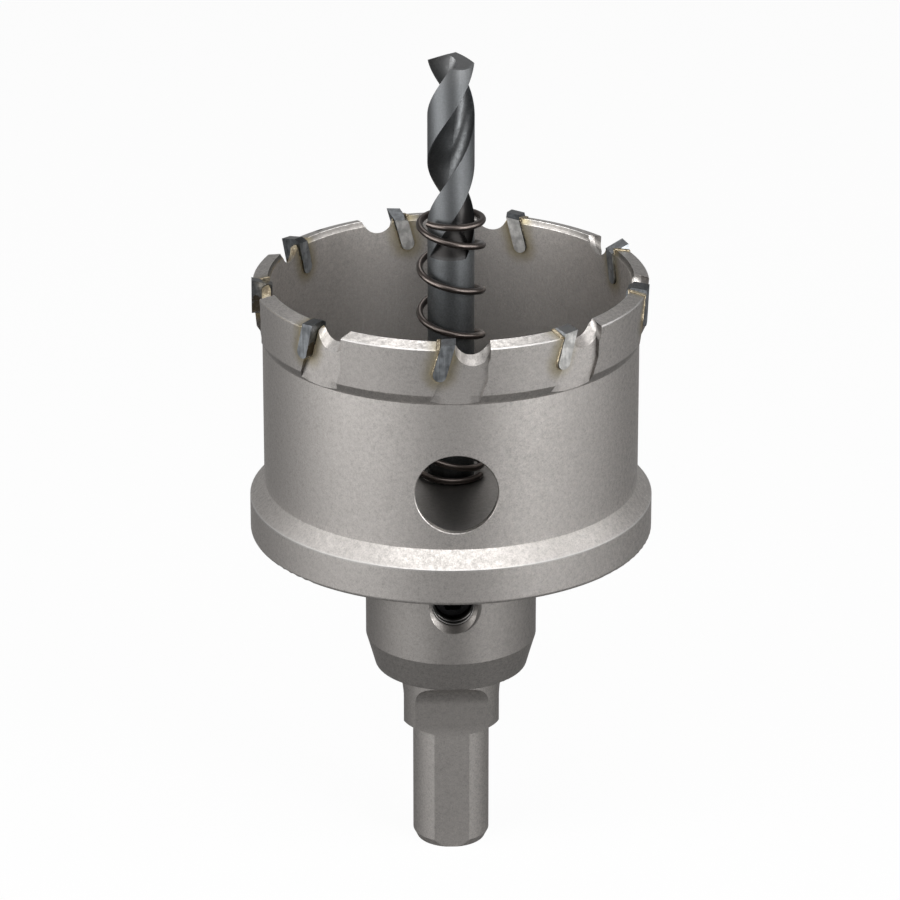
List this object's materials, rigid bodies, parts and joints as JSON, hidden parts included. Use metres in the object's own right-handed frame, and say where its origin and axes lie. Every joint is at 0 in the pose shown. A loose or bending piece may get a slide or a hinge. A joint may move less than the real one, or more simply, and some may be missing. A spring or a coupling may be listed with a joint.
{
  "type": "hole saw",
  "caption": "Carbide-tipped cup hole saw turned in one piece with its three-flat shank, with a twist pilot drill, a set screw and an ejector spring.",
  "frame": {"origin": "centre of the shank's end face", "axes": "+Z runs along the tool axis from the shank to the drill point; -Y is the front, where the window, the set screw and one flat of the shank lie"},
  "size_m": [0.052, 0.052, 0.1087],
  "materials": {
    "body_steel": "bead-blasted, satin",
    "carbide": "ground, satin",
    "drill_steel": "dark steam oxide, satin",
    "spring_steel": "dark brown oil-blackened wire",
    "screw_black": "black oxide"
  },
  "bodies": {
    "root": {"saw_body": "body_steel", "carbide_tip_1": "carbide", "carbide_tip_2": "carbide", "carbide_tip_3": "carbide", "carbide_tip_4": "carbide", "carbide_tip_5": "carbide", "carbide_tip_6": "carbide", "carbide_tip_7": "carbide", "carbide_tip_8": "carbide", "carbide_tip_9": "carbide", "pilot_drill": "drill_steel", "set_screw": "screw_black", "ejector_spring": "spring_steel"}
  },
  "joints": []
}
